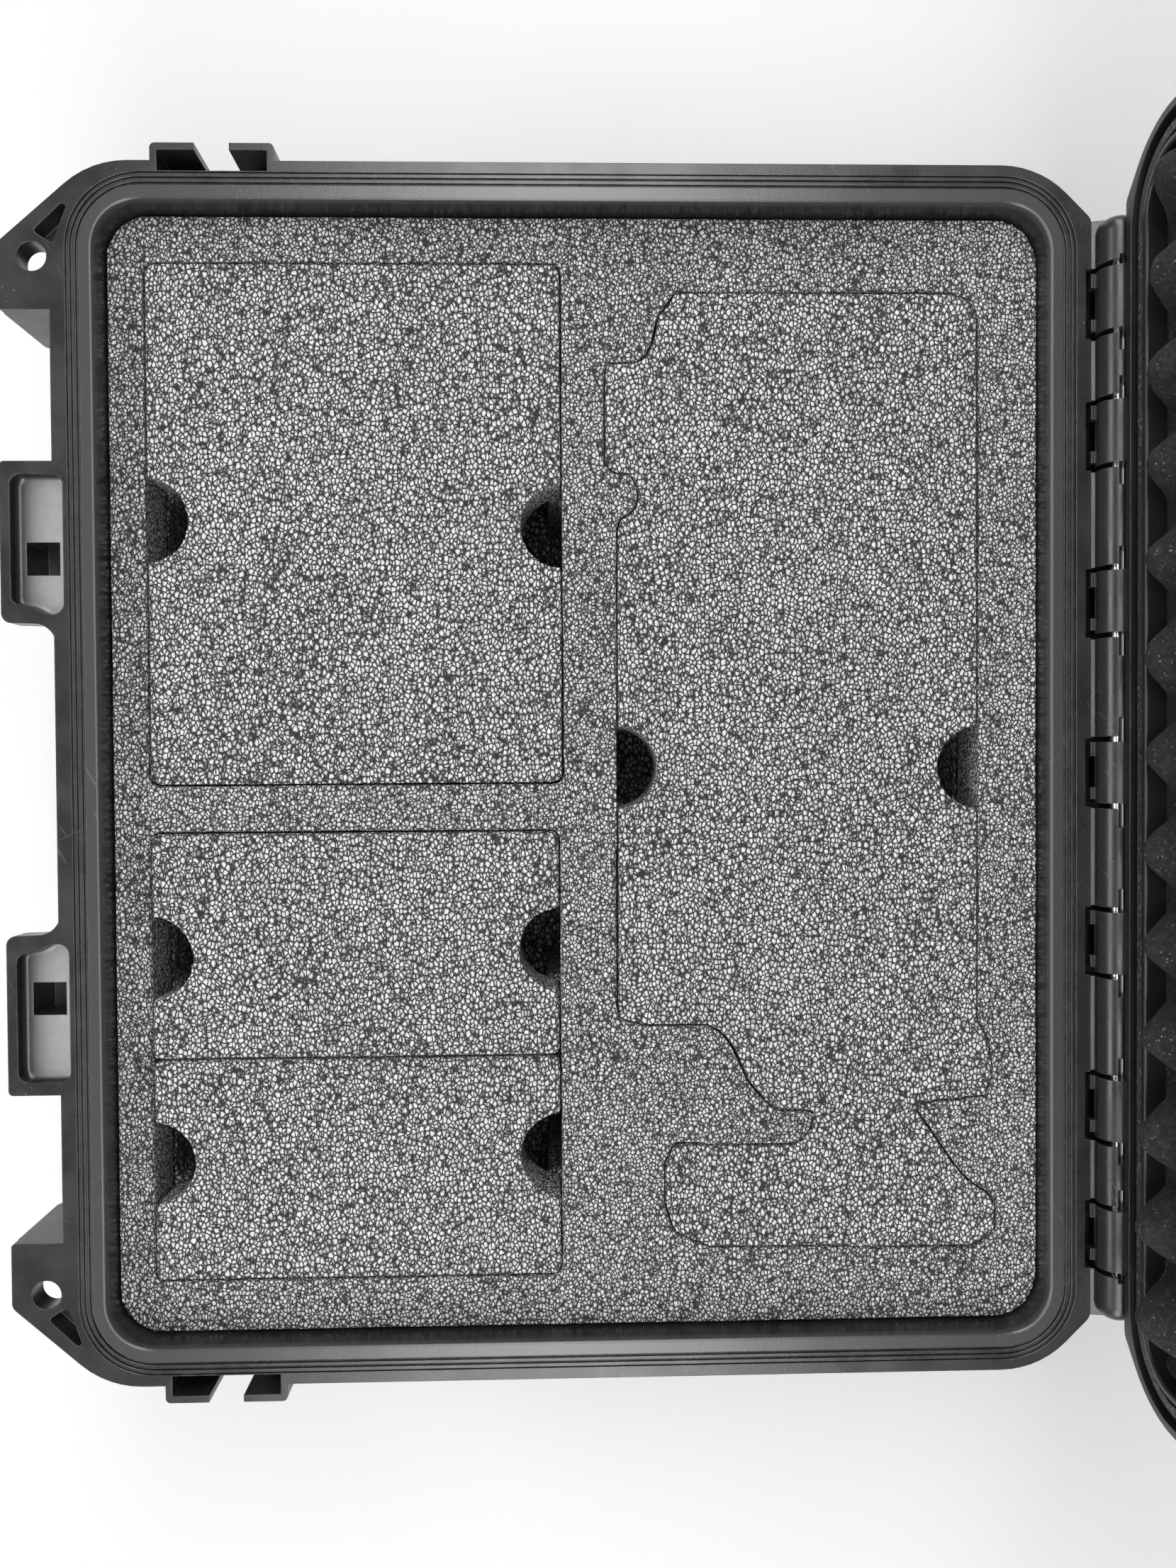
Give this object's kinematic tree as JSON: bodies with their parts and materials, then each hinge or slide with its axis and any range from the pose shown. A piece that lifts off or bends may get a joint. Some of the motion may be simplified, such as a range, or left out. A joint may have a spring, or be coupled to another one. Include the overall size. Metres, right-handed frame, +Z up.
{
  "type": "drone carrying case",
  "caption": "Rigid black hard case with a hinged lid, toggle latches and carry handle, fitted with layered foam whose lift-out covers close the drone and gear compartments.",
  "frame": {"origin": "on the flat bottom of the base, on the case's left-right mid-plane; Y = 0 is about the middle of the foam, 158.5 mm behind the front flange edge", "axes": "+Z up, -Y the front with the latch catches and handle, +Y the hinge side, X across the case; the lid is stored open at 90 degrees"},
  "size_m": [0.399, 0.4232, 0.4965],
  "materials": {
    "shell_black": "satin moulded, fine texture",
    "latch_black": "satin moulded",
    "handle_black": "satin moulded",
    "grip_rubber": "matt, soft",
    "seal_rubber": "matt, dusty",
    "steel_pin": "ground bright",
    "foam_cover": "open-celled cut face",
    "foam_frame": "open-celled cut face",
    "foam_dark": "cut face",
    "foam_lid": "soft open-cell, egg-crate"
  },
  "bodies": {
    "base": {"base_shell": "shell_black", "hinge_pin": "steel_pin", "foam_base_pad": "foam_dark", "foam_lower_layer": "foam_dark", "foam_top_layer": "foam_frame", "handle_pins": "steel_pin", "valve_body": "latch_black", "valve_seal": "seal_rubber", "valve_cap": "latch_black"},
    "lid": {"lid_shell": "shell_black", "lid_gasket": "seal_rubber", "lid_foam": "foam_lid", "latch_pin_left": "steel_pin", "latch_pin_right": "steel_pin"},
    "cover_square": {"cover_square": "foam_cover"},
    "cover_mid": {"cover_mid": "foam_cover"},
    "cover_low": {"cover_low": "foam_cover"},
    "cover_drone": {"cover_drone": "foam_cover"},
    "link_left": {"latch_link_left": "latch_black", "lever_pin_left": "steel_pin"},
    "link_right": {"latch_link_right": "latch_black", "lever_pin_right": "steel_pin"},
    "lever_left": {"latch_lever_left": "latch_black"},
    "lever_right": {"latch_lever_right": "latch_black"},
    "handle": {"handle": "handle_black", "handle_grip": "grip_rubber"}
  },
  "joints": [
    {"name": "lid_hinge", "type": "hinge", "parent": "base", "child": "lid", "pos_m": [0, 0.1795, 0.1175], "axis": [-1, 0, 0], "range_deg": [-90, 0]},
    {"name": "cover_square_lift", "type": "slide", "parent": "base", "child": "cover_square", "axis": [0, 0, 1], "range_m": [0, 0.05]},
    {"name": "cover_mid_lift", "type": "slide", "parent": "base", "child": "cover_mid", "axis": [0, 0, 1], "range_m": [0, 0.05]},
    {"name": "cover_low_lift", "type": "slide", "parent": "base", "child": "cover_low", "axis": [0, 0, 1], "range_m": [0, 0.05]},
    {"name": "cover_drone_lift", "type": "slide", "parent": "base", "child": "cover_drone", "axis": [0, 0, 1], "range_m": [0, 0.05]},
    {"name": "latch_link_left_pivot", "type": "hinge", "parent": "lid", "child": "link_left", "pos_m": [-0.075, 0.2, 0.463], "axis": [-1, 0, 0], "range_deg": [-95, 0]},
    {"name": "latch_lever_left_pivot", "type": "hinge", "parent": "link_left", "child": "lever_left", "pos_m": [-0.075, 0.2153, 0.48876], "axis": [-1, 0, 0], "range_deg": [-80, 0]},
    {"name": "latch_link_right_pivot", "type": "hinge", "parent": "lid", "child": "link_right", "pos_m": [0.075, 0.2, 0.463], "axis": [-1, 0, 0], "range_deg": [-95, 0]},
    {"name": "latch_lever_right_pivot", "type": "hinge", "parent": "link_right", "child": "lever_right", "pos_m": [0.075, 0.2153, 0.48876], "axis": [-1, 0, 0], "range_deg": [-80, 0]},
    {"name": "handle_swing", "type": "hinge", "parent": "base", "child": "handle", "pos_m": [0, -0.158, 0.093], "axis": [-1, 0, 0], "range_deg": [0, 90]}
  ]
}
